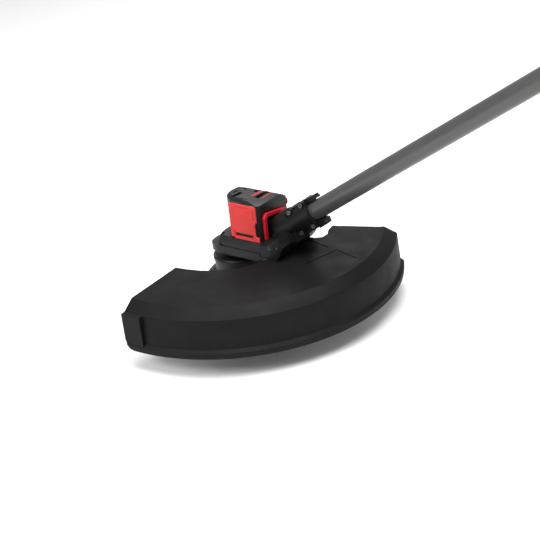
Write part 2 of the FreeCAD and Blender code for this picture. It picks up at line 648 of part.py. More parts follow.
def make_clamp():
    for label, side in (("clamp_left", -1), ("clamp_right", 1)):
        half = Piece(label, "shaft")
        low, high = ("-13", "-clamp_gap / 2") if side < 0 else ("clamp_gap / 2", "13")
        half.pad("XY", [circle("0", "0", "collar_radius")], "collar_start", "collar_end")
        half.pad("YZ", [circle(n, t, 5) for n, t in clamp_spots()], low, high)
        half.pad("YZ", [box("8", "collar_start + 1", "bolt_offset + 3", "collar_end - 1"),
                        box("-bolt_offset - 5", "collar_start + 1", "-8", "collar_end - 1")],
                 *(("-9", "-clamp_gap / 2") if side < 0 else ("clamp_gap / 2", "9")))
        half.pad("YZ", [[("tube_radius", "collar_end - 4"), ("tube_radius + 7.5", "collar_end - 4"),
                         ("tube_radius + 6.5", "collar_end + 14"),
                         ("tube_radius + 1", "collar_end + 16")],
                        [("-tube_radius", "collar_end - 4"), ("-tube_radius", "collar_end + 6"),
                         ("-tube_radius - 3", "collar_end + 11"),
                         ("-tube_radius - 10", "collar_end + 9"),
                         ("-tube_radius - 10", "collar_end - 4")]],
                 *(("-6.5", "-clamp_gap / 2") if side < 0 else ("clamp_gap / 2", "6.5")))
        half.cut("XY", [circle("0", "0", "tube_radius")], "collar_start - 5", "collar_end + 40")
        low, high = ("-clamp_gap / 2", "60") if side < 0 else ("-60", "clamp_gap / 2")
        half.cut("YZ", [box("-60", "80", "60", "260")], low, high)
        half.cut("YZ", [circle(n, t, "bolt_radius + 0.05") for n, t in clamp_spots()], "-20", "20")
        low, high = ("-20", "-13") if side < 0 else ("13", "20")
        half.cut("YZ", [circle(n, t, 4.2) for n, t in clamp_spots()], low, high)
    bolts = Piece("clamp_bolts", "shaft")
    bolts.pad("YZ", [circle(n, t, "bolt_radius") for n, t in clamp_spots()], "-13", "13")
    bolts.pad("YZ", [circle(n, t, 3.4) for n, t in clamp_spots()], "-15.6", "-13")
    bolts.pad("YZ", [circle(n, t, 3.6) for n, t in clamp_spots()], "13", "15.8")
    bolts.cut("YZ", [circle(n, t, 1.5) for n, t in clamp_spots()], "-15.6", "-14.2")


def make_tube():
    tube = Piece("shaft_tube", "shaft")
    tube.pad("XY", [circle("0", "0", "tube_radius"), circle("0", "0", "tube_radius - tube_wall")],
             "tube_start", "tube_end")
    cable = Piece("power_cable", "shaft")
    cable.pad("XY", [circle("0", "0", "cable_radius")], "cable_start", "cable_end")


# ---------------------------------------------------------------- cutting head

def make_head():
    wall = "head_wall"
    housing = Piece("spool_housing")
    housing.turned([
        ("spindle_radius", "46"), ("9", "46"), ("9", "69"), ("neck_radius - head_wall", "69"),
        ("neck_radius - head_wall", "44"), ("head_radius - head_wall", "38"),
        ("head_radius - head_wall", "head_split"), ("head_radius", "head_split"), ("head_radius", "38"),
        ("head_radius - 3", "41.5"), ("neck_radius", "47"), ("neck_radius", "63"),
        ("neck_radius + 1.5", "64"), ("neck_radius + 1.5", "69"), ("neck_radius", "70"),
        ("neck_radius - 1", "72"), ("hub_radius", "73"), ("hub_radius - 2", "head_top"),
        ("spindle_radius", "head_top")])
    housing.cut("YZ", [circle("0", "29", 3.3)], "40", "60")
    housing.cut("YZ", [circle("0", "29", 3.3)], "-60", "-40")
    cap = Piece("spool_cap")
    lip, skirt, inside = "knob_lip + 0.7", "head_radius - head_wall - 0.1", "head_radius - 2 * head_wall"
    cap.turned([(lip, "14"), ("head_radius - 2", "14"), ("head_radius", "15.5"),
                ("head_radius", "head_split"),
                (skirt, "head_split"), (skirt, "23"), (inside, "23"), (inside, "17"), (lip, "17")])
    eyelets = Piece("line_eyelets")
    for low, high, flange in (("head_radius - 4", "head_radius", "head_radius + 2.4"),
                              ("-head_radius", "-head_radius + 4", "-head_radius - 2.4")):
        eyelets.pad("YZ", [circle("0", "29", 3.3)], low, high)
        ends = (high, flange) if flange[0] != "-" else (flange, low)
        eyelets.pad("YZ", [circle("0", "29", 4.6)], *ends)
    eyelets.cut("YZ", [circle("0", "29", 1.7)], "-80", "80")
    nut = Piece("spindle_nut")
    hexagon = [("8.4 * cos(%d)" % (60 * k), "8.4 * sin(%d)" % (60 * k)) for k in range(6)]
    nut.pad("XY", [hexagon], "40.5", "46")
    make_spool()


def make_spool():
    spool = Piece("spool")
    spool.turned([
        ("spool_core - 5", "21.3"), ("spool_radius", "21.3"), ("spool_radius", "23.6"),
        ("spool_core", "23.6"), ("spool_core", "33.4"), ("spool_radius", "33.4"),
        ("spool_radius", "35.6"), ("spool_core - 5", "35.6")])
    line = Piece("wound_line")
    line.turned([("spool_core", "23.6"), ("37", "23.6"), ("38.2", "25.2"), ("37.4", "26.8"),
                 ("38.4", "28.4"),
                 ("37.4", "30"), ("38.2", "31.8"), ("37", "33.4"), ("spool_core", "33.4")])
    knob = Piece("bump_knob")
    stem, bore = "spool_core - 6", "spool_core - 9"
    knob.turned([("0", "0"), ("21", "0"), ("24.6", "1.6"), ("knob_lip", "5.5"), ("knob_lip", "18.4"),
                 ("31", "18.4"), ("31", "21"), (stem, "21"), (stem, "35.6"), (bore, "35.6"),
                 (bore, "7"), ("0", "7")])
    knob.cut("XY", [circle("knob_lip + 1.2", "0", 3.2)], "3", "13.6").around(8)
    spring = doc.addObject("Part::Helix", "SpringPath")
    spring.Pitch, spring.Height, spring.Radius = 4.4, 31, 12
    section = doc.addObject("Part::Circle", "SpringWire")
    section.Radius = 0.9
    section.Placement = FreeCAD.Placement(V(12, 0, 0), FreeCAD.Rotation(V(1, 0, 0), 90))
    coil = doc.addObject("Part::Sweep", "feed_spring")
    coil.Sections, coil.Spine, coil.Solid, coil.Frenet = [section], spring, True, True
    coil.Label = "feed_spring"
    coil.Placement = FreeCAD.Placement(V(0, 0, 36.8), FreeCAD.Rotation())
    PIECES.append(coil)


# ---------------------------------------------------------------- front handle and hanger

def solid(kind, at=(0, 0, 0), axis=(0, 0, 1), angle=0, **sizes):
    thing = doc.addObject("Part::" + kind, kind)
    for name, text in sizes.items():
        setattr(thing, name, value(text))
        thing.setExpression(name, bound(text))
    spot = [value(number) for number in at]
    thing.Placement = FreeCAD.Placement(V(*spot), FreeCAD.Rotation(V(*axis), angle))
    for letter, number in zip("xyz", at):
        if re.search("[a-z]", str(number)):
            thing.setExpression("Placement.Base." + letter, bound(number))
    return thing


def united(label, things):
    whole = doc.addObject("Part::MultiFuse", label)
    whole.Shapes = things
    whole.Refine = True
    return whole


def less(label, base, tools, frame):
    """What is left of one object when others are taken from it, as a sub-part."""
    left = doc.addObject("Part::Cut", label)
    left.Base = base
    left.Tool = tools[0] if len(tools) == 1 else united(label + "_tools", tools)
    left.Label = label
    place(left, frame)
    PIECES.append(left)
    return left


def make_front_handle():
    rise, foot, ring = "loop_rise", "30", "loop_radius"
    bar = dict(Radius="bar_radius")
    torus = solid("Torus", ("0", rise, "handle_at"), Radius1=ring, Radius2="bar_radius", Angle3="180")
    parts = [torus]
    for side in ("-", ""):
        parts.append(solid("Cylinder", (side + ring, foot, "handle_at"), (1, 0, 0), -90,
                           Height=rise + " - " + foot, **bar))
        parts.append(solid("Sphere", (side + ring, foot, "handle_at"), Radius="bar_radius"))
    parts.append(solid("Cylinder", ("-" + ring, foot, "handle_at"), (0, 1, 0), 90,
                       Height="2 * " + ring, **bar))
    start = "handle_at - saddle_length / 2"
    parts.append(solid("Box", ("-20", "clamp_gap", start), Length="40", Width="30",
                       Height="saddle_length"))
    loop = united("loop", parts)
    bore = ("0", "0", "handle_at - saddle_length")
    tube = solid("Cylinder", bore, Radius="tube_radius + running_gap", Height="2 * saddle_length")
    holes = [solid("Cylinder", (x, "-30", t), (1, 0, 0), -90, Radius="2.1", Height="60")
             for x, t in handle_bolts()]
    handle = less("front_handle", loop, [tube] + holes, "shaft")
    cap = Piece("handle_cap", "shaft")
    end = "handle_at + saddle_length / 2"
    cap.pad("YZ", [[("-clamp_gap", start), ("-19", start + " + 3"), ("-19", end + " - 3"),
                    ("-clamp_gap", end)]], "-20", "20")
    cap.cut("XY", [circle("0", "0", "tube_radius + running_gap")], start + " - 5",
            "handle_at + saddle_length")
    cap.cut("XZ", [circle(x, t, 2.1) for x, t in handle_bolts()], "-30", "10")
    bolts = Piece("handle_bolts", "shaft")
    fixed = handle_bolts()[:2]
    bolts.pad("XZ", [circle(x, t, 2) for x, t in fixed], "-19", "24")
    bolts.pad("XZ", [circle(x, t, 3.8) for x, t in fixed], "-22", "-19")
    make_handle_knob()
    grip = solid("Torus", ("0", rise, "handle_at"), (0, 0, 1), 25,
                 Radius1=ring, Radius2="grip_radius", Angle3="130")
    core = solid("Torus", ("0", rise, "handle_at"), Radius1=ring, Radius2="bar_radius")
    less("handle_grip", grip, [core], "shaft")


def handle_bolts():
    """Across and along: two bolts on the left of the tube and the knob's stud on the right."""
    return [("-16.6", "handle_at - 14"), ("-16.6", "handle_at + 14"), ("16.6", "handle_at")]


def make_handle_knob():
    across, along = handle_bolts()[2]
    knob = Piece("handle_knob", "shaft")
    knob.pad("XZ", [circle(across, along, 11)], "-38", "-22")
    lobes = [circle("(%s) + 11 * cos(%d)" % (across, turn), "(%s) + 11 * sin(%d)" % (along, turn), 4.6)
             for turn in range(0, 360, 72)]
    knob.pad("XZ", lobes, "-36.5", "-24")
    knob.pad("XZ", [circle(across, along, 6)], "-22", "-19.3")
    knob.pad("XZ", [circle(across, along, 2)], "-20", "24")


def make_hanger():
    band = Piece("hanger_band", "shaft")
    low, high = "hanger_at - 10", "hanger_at + 10"
    band.pad("XY", [circle("0", "0", "tube_radius + 3.6")], low, high)
    eye = [("0", low), ("tube_radius + 12", "hanger_at - 9"), ("tube_radius + 24", "hanger_at - 7"),
           ("tube_radius + 24", "hanger_at + 7"), ("tube_radius + 12", "hanger_at + 9"), ("0", high)]
    band.pad("YZ", [eye], "-4", "4")
    band.cut("YZ", [circle("tube_radius + 15", "hanger_at", 6)], "-10", "10")
    band.cut("XY", [circle("0", "0", "tube_radius")], low, high)


# ---------------------------------------------------------------- rear housing

def nose():
    return [("-nose_half", "nose_start + 6"), ("-nose_half + 4", "nose_start"),
            ("nose_half - 4", "nose_start"),
            ("nose_half + 6", "nose_start + 34"), ("nose_half + 6", "nose_end"),
            ("-nose_half", "nose_end")]


def grip(inset="0"):
    i = inset
    return [("20 - %s" % i, "nose_end - 8 + %s" % i), ("21 - %s" % i, "nose_end + 12"),
            ("17.5 - %s" % i, "grip_end - 40"), ("18 - %s" % i, "grip_end"),
            ("28 - %s" % i, "block_start + 2 - %s" % i),
            ("-34 + %s" % i, "block_start + 2 - %s" % i), ("-20 + %s" % i, "grip_end - 6"),
            ("-18.5 + %s" % i, "grip_end - 40"), ("-21 + %s" % i, "nose_end - 8 + %s" % i)]


def trigger_guard():
    outer = [("-10", "nose_end - 14"), ("-40", "nose_end - 4"), ("-62", "nose_end + 18"),
             ("-69", "nose_end + 46"),
             ("-68", "grip_end - 16"), ("-51", "block_start + 4"), ("-10", "block_start + 4")]
    inner = [("-15", "nose_end + 3"), ("-40", "nose_end + 10"), ("-55", "nose_end + 27"),
             ("-60.5", "nose_end + 50"),
             ("-59.5", "grip_end - 18"), ("-48", "grip_end"), ("-36", "grip_end + 4"),
             ("-15", "grip_end - 4")]
    return outer, inner


def make_rear_housing():
    bosses = housing_bosses()
    for label, side in (("rear_housing_left", "-"), ("rear_housing_right", "")):
        shell = Piece(label, "shaft")

        def span(near, far):
            return ("-(%s)" % far, "-(%s)" % near) if side else (near, far)
        loop, finger_room = trigger_guard()
        shell.pad("YZ", [loop], *span("0", "8.5"))
        shell.cut("YZ", [finger_room], *span("0", "8.5"))
        shell.pad("YZ", [nose()], *span("0", "nose_half - 1"))
        shell.pad("YZ", [grip()], *span("0", "grip_half"))
        shell.pad("YZ", [rear_block()], *span("0", "rear_half"))
        shell.cut("YZ", [grip("shell")], *span("0", "grip_half - shell"))
        room = box("-block_down + shell", "block_start + shell", "block_up - shell", "block_end - shell")
        shell.cut("YZ", [room], *span("0", "rear_half - shell"))
        shell.pad("YZ", [circle(n, t, 3.6) for n, t in bosses[2:]], *span("0", "rear_half - 1"))
        shell.cut("XY", [circle("0", "0", "tube_radius")], "nose_start", "tube_end")
        shell.cut("XY", [circle("0", "0", "cable_radius + 1")], "tube_end", "nose_end + 4")
        cut_controls(shell)
        shell.cut("YZ", [circle(n, t, 1.55) for n, t in bosses], "-34", "14")
    screws = Piece("housing_screws", "shaft")
    screws.pad("YZ", [circle(n, t, 1.5) for n, t in bosses], "-17", "13")
    screws.cut("YZ", [circle(n, t, 0.6) for n, t in bosses], "-17", "-16")


def rear_block():
    return [("-block_down", "block_start + 8"), ("-block_down + 8", "block_start"),
            ("block_up - 8", "block_start"),
            ("block_up", "block_start + 8"), ("block_up", "block_end"), ("-block_down", "block_end")]


def housing_bosses():
    return [("-17.6", "nose_start + 14"), ("19", "nose_start + 21"),
            ("-block_down + 8", "block_start + 11"),
            ("block_up - 8", "block_start + 11"), ("-block_down + 8", "block_end - 9"),
            ("block_up - 8", "block_end - 9")]


def cut_controls(shell):
    """Openings for the trigger, lock-off lever, power button, speed selector and terminals."""
    shell.cut("YZ", [box("-26", "nose_end + 5", "-14", "nose_end + 62")], "-7.2", "7.2")
    shell.cut("YZ", [box("12", "nose_end + 17", "26", "nose_end + 66")], "-6.2", "6.2")
    shell.cut("XZ", [circle("0", "nose_end - 20", 6.3)], "17", "40")
    shell.cut("XZ", [circle("0", "nose_end - 20", 8)], "16.6", "21")
    shell.cut("YZ", [box("2.6", "nose_start + 22", "12.4", "nose_start + 50")], "-30", "-17.4")
    shell.cut("XY", [box("-12.3", "-20.3", "12.3", "10.3")], "block_end - shell", "block_end")
    shell.cut("YZ", [circle("-14", "nose_end + 14", 2), circle("12.5", "nose_end + 22", 2)], "-12.2",
              "12.2")


def make_controls():
    pin_n, pin_t = "-14", "nose_end + 14"
    trigger = Piece("trigger", "shaft")
    trigger.pad("YZ", [[("-10", "nose_end + 9"), ("-10", "nose_end + 19"), ("-17", "nose_end + 56"),
                        ("-24", "nose_end + 58"), ("-37", "nose_end + 47"), ("-40", "nose_end + 40"),
                        ("-37", "nose_end + 28"), ("-26", "nose_end + 13"),
                        ("-18", "nose_end + 8")]], "-6.6", "6.6")
    trigger.cut("YZ", [circle(pin_n, pin_t, "2 + running_gap")], "-10", "10")
    pins = Piece("lever_pins", "shaft")
    pins.pad("YZ", [circle(pin_n, pin_t, 2), circle("12.5", "nose_end + 22", 2)], "-12", "12")
    lever = Piece("lock_off_lever", "shaft")
    lever.pad("YZ", [[("9", "nose_end + 19"), ("9", "nose_end + 26"), ("17", "nose_end + 30"),
                      ("17.5", "nose_end + 64"),
                      ("25", "nose_end + 63"), ("28", "nose_end + 55"), ("23.5", "nose_end + 26"),
                      ("19", "nose_end + 18.5"), ("13", "nose_end + 18.5")]], "-5.6", "5.6")
    lever.cut("YZ", [circle("12.5", "nose_end + 22", "2 + running_gap")], "-10", "10")
    switch = Piece("trigger_switch", "shaft")
    switch.pad("YZ", [box("-9", "nose_end + 74", "9", "nose_end + 100")], "-8", "8")
    switch.pad("YZ", [box("-6", "nose_end + 70", "-1", "nose_end + 74")], "-2.5", "2.5")
    button = Piece("power_button", "shaft")
    button.pad("XZ", [circle("0", "nose_end - 20", 5.9)], "20.6", "30")
    button.pad("XZ", [circle("0", "nose_end - 20", 7.6)], "18.6", "20.6")
    slider = Piece("speed_selector", "shaft")
    slider.pad("YZ", [box("3", "nose_start + 22.4", "12", "nose_start + 38")], "-22.4", "-17.8")
    ribs = [box("3", "nose_start + %d" % low, "12", "nose_start + %d" % (low + 2)) for low in (26, 31)]
    slider.pad("YZ", ribs, "-23.4", "-22.4")
    board = Piece("control_board", "shaft")
    board.pad("XY", [box("-32", "-40", "32", "30")], "block_start + 24", "block_start + 25.6")
    face = "block_start + 25.6"
    board.pad("XY", [box("-26", "-30", "-6", "-8"), box("4", "-32", "22", "-14")], face,
              "block_start + 38")
    board.pad("XY", [circle(x, "14", 6) for x in ("-16", "2", "20")], face, "block_start + 45")


def make_battery():
    contacts = Piece("battery_terminals", "shaft")
    contacts.pad("XY", [box("-12", "-20", "12", "10")], "block_end - 10", "block_end + 5")
    blades = [box("-9", "-16", "-7.6", "6"), box("-3", "-16", "-1.6", "6"), box("7.6", "-16", "9", "6")]
    contacts.pad("XY", blades, "block_end + 5", "block_end + 9")
    rails = Piece("battery_rails", "shaft")
    rails.pad("XY", [box("-20", "-44", "-16", "28"), box("16", "-44", "20", "28")], "block_end",
              "block_end + 11")
    rails.pad("XY", [box("-24", "-44", "-16", "28"), box("16", "-44", "24", "28")],
              "block_end + 6.2", "block_end + 11")
    front, split, back = "block_end + 2", "block_end + 40", "block_end + pack_length"
    case = Piece("battery_case", "shaft")
    case.pad("XY", [pack_plan()], front, split)
    case.cut("XY", [box("-20.4", "-44.6", "20.4", "80")], front, "block_end + 5.8")
    case.cut("XY", [box("-24.4", "-44.6", "24.4", "80")], "block_end + 5.8", "block_end + 11.4")
    case.cut("XY", [box("-33", "-54", "33", "42")], "block_end + 14", split)
    for low, high in (("33.4", "60"), ("-60", "-33.4")):
        case.cut("YZ", [box("15.6", "block_end + 11.6", "34.4", "block_end + 32.4")], low, high)
    base = Piece("battery_base", "shaft")
    base.pad("XY", [pack_plan()], split, back)
    base.cut("XY", [box("-33", "-54", "33", "42")], split, back + " - 3")
    sides = (("battery_latch_right", "36.2", "41.5"), ("battery_latch_left", "-41.5", "-36.2"))
    for label, low, high in sides:
        latch = Piece(label, "shaft")
        latch.pad("YZ", [box("16", "block_end + 12", "34", "block_end + 32")], low, high)
    cells = Piece("battery_cells", "shaft")
    rows = ("block_end + 26", "block_end + 56")
    cells.pad("YZ", [circle(n, t, 9.2) for n in ("-44", "-25", "-6", "13", "32") for t in rows],
              "-32.5", "32.5")


def pack_plan():
    return [("-pack_half + 6", "-60"), ("pack_half - 6", "-60"), ("pack_half", "-54"),
            ("pack_half", "40"),
            ("pack_half - 6", "46"), ("-pack_half + 6", "46"), ("-pack_half", "40"),
            ("-pack_half", "-54")]


def main():
    make_guard()
    make_guard_fittings()
    make_gearcase()
    make_gearcase_cover()
    make_drive_train()
    make_motor()
    make_motor_box()
    make_yoke()
    make_clamp()
    make_tube()
    make_head()
    make_front_handle()
    make_hanger()
    make_rear_housing()
    make_controls()
    make_battery()
    doc.recompute()
    check_document()
    write_steps()


def check_document():
    faults = [thing.Name for thing in doc.Objects if "Invalid" in thing.State or "Error" in thing.State]
    for thing in PIECES:
        shape = thing.Shape
        if shape.isNull() or not shape.isValid() or not shape.Solids:
            faults.append(thing.Label)
    if faults:
        raise RuntimeError("not built: " + ", ".join(faults))


def write_steps():
    os.makedirs("parts", exist_ok=True)
    for thing in PIECES:
        thing.Shape.exportStep("parts/%s.step" % thing.Label)
        print("%-24s %2d solids %10.0f mm3" % (thing.Label, len(thing.Shape.Solids), thing.Shape.Volume))


main()
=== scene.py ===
import bmesh
import bpy
import json
import math
from mathutils import Matrix, Vector
from mathutils.bvhtree import BVHTree


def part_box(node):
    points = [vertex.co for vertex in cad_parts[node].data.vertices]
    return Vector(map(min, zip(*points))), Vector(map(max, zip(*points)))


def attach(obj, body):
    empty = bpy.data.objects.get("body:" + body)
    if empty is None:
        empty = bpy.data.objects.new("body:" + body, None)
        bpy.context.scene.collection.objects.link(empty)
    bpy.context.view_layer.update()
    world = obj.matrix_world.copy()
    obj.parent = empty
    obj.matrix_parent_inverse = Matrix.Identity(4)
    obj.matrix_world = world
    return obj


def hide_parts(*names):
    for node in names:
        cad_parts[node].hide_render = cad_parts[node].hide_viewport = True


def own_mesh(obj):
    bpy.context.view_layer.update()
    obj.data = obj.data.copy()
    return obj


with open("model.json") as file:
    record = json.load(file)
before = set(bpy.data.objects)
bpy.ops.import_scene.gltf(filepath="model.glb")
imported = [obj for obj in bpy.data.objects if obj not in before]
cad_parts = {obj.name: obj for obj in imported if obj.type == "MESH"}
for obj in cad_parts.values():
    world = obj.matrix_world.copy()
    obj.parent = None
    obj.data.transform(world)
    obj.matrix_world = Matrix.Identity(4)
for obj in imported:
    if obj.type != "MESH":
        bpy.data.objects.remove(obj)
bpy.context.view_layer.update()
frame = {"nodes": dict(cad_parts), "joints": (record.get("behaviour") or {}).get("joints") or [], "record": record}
NODES = frame["nodes"]
BODY_OF = {n: body for body, names in frame["record"]["behaviour"]["bodies"].items() for n in names}
SLOT_OF = {row["node"]: row["material_slot"] for row in frame["record"]["subparts"]}

# The camera, in metres and degrees: it looks at the cutting head from the operator's side, on the left
CAMERA_PLACE = (-1.1719, -0.9900, 0.7922)
CAMERA_AZIMUTH, CAMERA_ELEVATION, CAMERA_ROLL = -51.21, 26.29, -6.53
CAMERA_LENS, SENSOR, CLIP_END = 80.0, 36.0, 50
FLOOR_HALF = 14.0
SKY_STRENGTH = 0.45
LIGHTS_AIM = (0, -0.1, 0.08)
# name, place, size in metres, power in watts
LIGHTS = (
    ("overhead", (-0.2, -0.5, 2.3), 1.8, 62),
    ("key", (-1.9, 0.5, 1.7), 1.0, 26),
    ("rim", (1.9, 1.1, 1.5), 0.9, 9),
)


# ------------------------------------------------------------ camera, floor and light

def make_camera():
    azimuth, elevation = math.radians(CAMERA_AZIMUTH), math.radians(CAMERA_ELEVATION)
    right = Vector((math.cos(azimuth), math.sin(azimuth), 0))
    back = Vector((math.sin(azimuth) * math.cos(elevation), -math.cos(azimuth) * math.cos(elevation),
                   math.sin(elevation)))
    up = back.cross(right)
    turn = Matrix((right, up, back)).transposed() @ Matrix.Rotation(math.radians(CAMERA_ROLL), 3, "Z")
    data = bpy.data.cameras.new("camera")
    data.lens, data.sensor_width = CAMERA_LENS, SENSOR
    data.clip_end = CLIP_END
    camera = bpy.data.objects.new("camera", data)
    camera.matrix_world = Matrix.Translation(CAMERA_PLACE) @ turn.to_4x4()
    bpy.context.scene.collection.objects.link(camera)
    bpy.context.scene.camera = camera


def make_floor():
    mesh = bpy.data.meshes.new("floor")
    signs = ((-1, -1), (1, -1), (1, 1), (-1, 1))
    corners = [(x * FLOOR_HALF, y * FLOOR_HALF, 0) for x, y in signs]
    mesh.from_pydata(corners, [], [(0, 1, 2, 3)])
    floor = bpy.data.objects.new("floor", mesh)
    bpy.context.scene.collection.objects.link(floor)
    floor.data.materials.append(floor_paper())


def area_light(name, place, aim, size, power):
    data = bpy.data.lights.new(name, "AREA")
    data.shape, data.size, data.energy = "DISK", size, power
    light = bpy.data.objects.new(name, data)
    light.location = place
    direction = Vector(aim) - Vector(place)
    light.rotation_euler = direction.to_track_quat("-Z", "Y").to_euler()
    bpy.context.scene.collection.objects.link(light)


def make_lights():
    world = bpy.data.worlds.new("studio")
    world.use_nodes = True
    background = world.node_tree.nodes["Background"]
    background.inputs["Color"].default_value = (1.0, 1.0, 1.0, 1)
    background.inputs["Strength"].default_value = SKY_STRENGTH
    bpy.context.scene.world = world
    for name, place, size, power in LIGHTS:
        area_light(name, place, LIGHTS_AIM, size, power)
    bpy.context.scene.view_settings.view_transform = "Standard"


# ------------------------------------------------------------ materials

class Look:
    """A Principled material varied by noise in the object's own space."""

    def __init__(self, name, colour, roughness, metallic=0.0, specular=0.5):
        self.material = bpy.data.materials.new(name)
        self.material.use_nodes = True
        self.nodes, self.links = self.material.node_tree.nodes, self.material.node_tree.links
        self.shader = self.nodes["Principled BSDF"]
        self.colour, self.roughness = colour, roughness
        self.shader.inputs["Base Color"].default_value = (*colour, 1)
        self.shader.inputs["Roughness"].default_value = roughness
        self.shader.inputs["Metallic"].default_value = metallic
        self.shader.inputs["Specular IOR Level"].default_value = specular
        self.place = self.nodes.new("ShaderNodeTexCoord").outputs["Object"]

    def noise(self, scale, detail=2.0, stretch=(1, 1, 1)):
        mapping = self.nodes.new("ShaderNodeMapping")
        mapping.inputs["Scale"].default_value = stretch
        self.links.new(self.place, mapping.inputs["Vector"])
        texture = self.nodes.new("ShaderNodeTexNoise")
        texture.inputs["Scale"].default_value = scale
        texture.inputs["Detail"].default_value = detail
        self.links.new(mapping.outputs["Vector"], texture.inputs["Vector"])
        return texture.outputs["Fac"]

    def mottled(self, scale, spread):
        """The colour drifts a little lighter and darker over patches of about 1 / scale metres."""
        ramp = self.nodes.new("ShaderNodeValToRGB")
        ramp.color_ramp.elements[0].position, ramp.color_ramp.elements[1].position = 0.3, 0.7
        for element, factor in zip(ramp.color_ramp.elements, (1 - spread, 1 + spread)):
            element.color = (*[min(1.0, c * factor) for c in self.colour], 1)
        self.links.new(self.noise(scale, 4.0), ramp.inputs["Fac"])
        self.links.new(ramp.outputs["Color"], self.shader.inputs["Base Color"])
        return self

    def patchy(self, scale, spread, stretch=(1, 1, 1)):
        """The roughness drifts, as handling polishes some places and dulls others."""
        change = self.nodes.new("ShaderNodeMapRange")
        change.inputs["From Min"].default_value, change.inputs["From Max"].default_value = 0.3, 0.7
        change.inputs["To Min"].default_value = self.roughness - spread
        change.inputs["To Max"].default_value = self.roughness + spread
        self.links.new(self.noise(scale, 3.0, stretch), change.inputs["Value"])
        self.links.new(change.outputs["Result"], self.shader.inputs["Roughness"])
        return self

    def grained(self, scale, strength, depth=0.0002, stretch=(1, 1, 1)):
        """Fine relief, such as a mould's spark-eroded texture or brushing."""
        bump = self.nodes.new("ShaderNodeBump")
        bump.inputs["Strength"].default_value, bump.inputs["Distance"].default_value = strength, depth
        self.links.new(self.noise(scale, 3.0, stretch), bump.inputs["Height"])
        self.links.new(bump.outputs["Normal"], self.shader.inputs["Normal"])
        return self


def moulded_plastic(name, colour):
    look = Look(name, colour, 0.44, specular=0.26)
    return look.mottled(9, 0.10).patchy(35, 0.07).grained(1400, 0.35).material


def coarse_plastic(name, colour):
    look = Look(name, colour, 0.6, specular=0.17)
    return look.mottled(9, 0.12).patchy(35, 0.06).grained(1400, 0.35).material


def satin_red(name, colour):
    look = Look(name, colour, 0.42, specular=0.3)
    return look.mottled(12, 0.06).patchy(40, 0.05).grained(1100, 0.18).material


def nylon(name, colour):
    look = Look(name, colour, 0.25)
    look.shader.inputs["Transmission Weight"].default_value = 0.15
    return look.mottled(60, 0.08).patchy(90, 0.05).grained(700, 0.2).material


def painted_tube(name, colour):
    look = Look(name, colour, 0.36, 0.35)
    look.shader.inputs["Coat Weight"].default_value = 0.25
    look.shader.inputs["Coat Roughness"].default_value = 0.22
    return look.mottled(14, 0.04).patchy(22, 0.05).grained(1800, 0.12, 0.0001).material


def steel(name, colour):
    look = Look(name, colour, 0.3, 1.0)
    look.mottled(80, 0.10).patchy(160, 0.08, (1, 1, 8))
    return look.grained(900, 0.15, 0.0001, (1, 1, 10)).material


def soft_rubber(name, colour):
    look = Look(name, colour, 0.72, specular=0.25)
    look.shader.inputs["Sheen Weight"].default_value = 0.15
    return look.mottled(20, 0.12).patchy(60, 0.08).grained(800, 0.5).material


def floor_paper():
    look = Look("floor", (0.97, 0.97, 0.97), 0.9)
    return look.material


FINISHES = {"matte_plastic": moulded_plastic, "gloss_plastic": nylon, "painted_metal": painted_tube,
            "brushed_steel": steel, "rubber": soft_rubber}
BLACK, SOOT = (0.0075, 0.0076, 0.0082), (0.005, 0.0052, 0.0055)
RED, STEEL, ZINC = (0.66, 0.031, 0.027), (0.55, 0.55, 0.56), (0.16, 0.16, 0.165)
COLOURS = {
    "guard_plastic": (0.0040, 0.0040, 0.0046), "housing_black": BLACK, "yoke_black": BLACK,
    "clamp_black": SOOT, "head_black": BLACK, "knob_black": SOOT, "handle_black": BLACK,
    "battery_black": BLACK, "latch_black": SOOT, "switch_black": SOOT, "fan_plastic": (0.09, 0.09, 0.09),
    "panel_red": RED, "arch_red": (0.50, 0.010, 0.022), "trigger_red": RED, "button_red": RED,
    "battery_red": RED, "spool_red": RED, "line_nylon": (0.72, 0.65, 0.12),
    "cell_blue": (0.04, 0.13, 0.38), "board_green": (0.02, 0.16, 0.06), "tube_grey": (0.072, 0.073, 0.071),
    "screw_steel": ZINC, "bright_steel": STEEL, "gear_steel": (0.38, 0.38, 0.39), "blade_steel": STEEL,
    "magnet_steel": (0.25, 0.25, 0.26), "stator_steel": (0.36, 0.26, 0.17),
    "grip_rubber": SOOT, "cable_rubber": SOOT,
}
REDS = ("panel_red", "arch_red", "trigger_red", "button_red", "battery_red", "spool_red")
SPECIAL = {"guard_plastic": coarse_plastic}
MATERIALS = {}


def make_materials():
    for row in frame["record"]["materials"]:
        slot_name = row["slot"]
        finish = SPECIAL.get(slot_name) or (satin_red if slot_name in REDS else FINISHES[row["class"]])
        MATERIALS[slot_name] = finish(slot_name, COLOURS[slot_name])


# ------------------------------------------------------------ the shaft's own frame

JOINTS = {joint["name"]: joint for joint in frame["joints"]}
ALONG = Vector(JOINTS["handle_shift"]["axis"]).normalized()
ACROSS = Vector((1, 0, 0))
OVER = -Vector(JOINTS["power_press"]["axis"]).normalized()
SHAFT = Matrix((ACROSS, OVER, ALONG)).transposed()


def shaft_box(node):
    """Lowest and highest (across, over, along) of a CAD node, in metres along the shaft's own axes."""
    spots = [SHAFT.transposed() @ v.co for v in NODES[node].data.vertices]
    low = Vector(min(p[k] for p in spots) for k in range(3))
    high = Vector(max(p[k] for p in spots) for k in range(3))
    return low, high


def level_block(low, high):
    """A unit cube's matrix for a box between two corners, in metres in the row frame."""
    low, high = Vector(low), Vector(high)
    return Matrix.Translation((low + high) / 2) @ Matrix.Diagonal((*(high - low), 1))


def shaft_block(low, high):
    """The same between two corners given along the shaft's own axes."""
    return SHAFT.to_4x4() @ level_block(low, high)


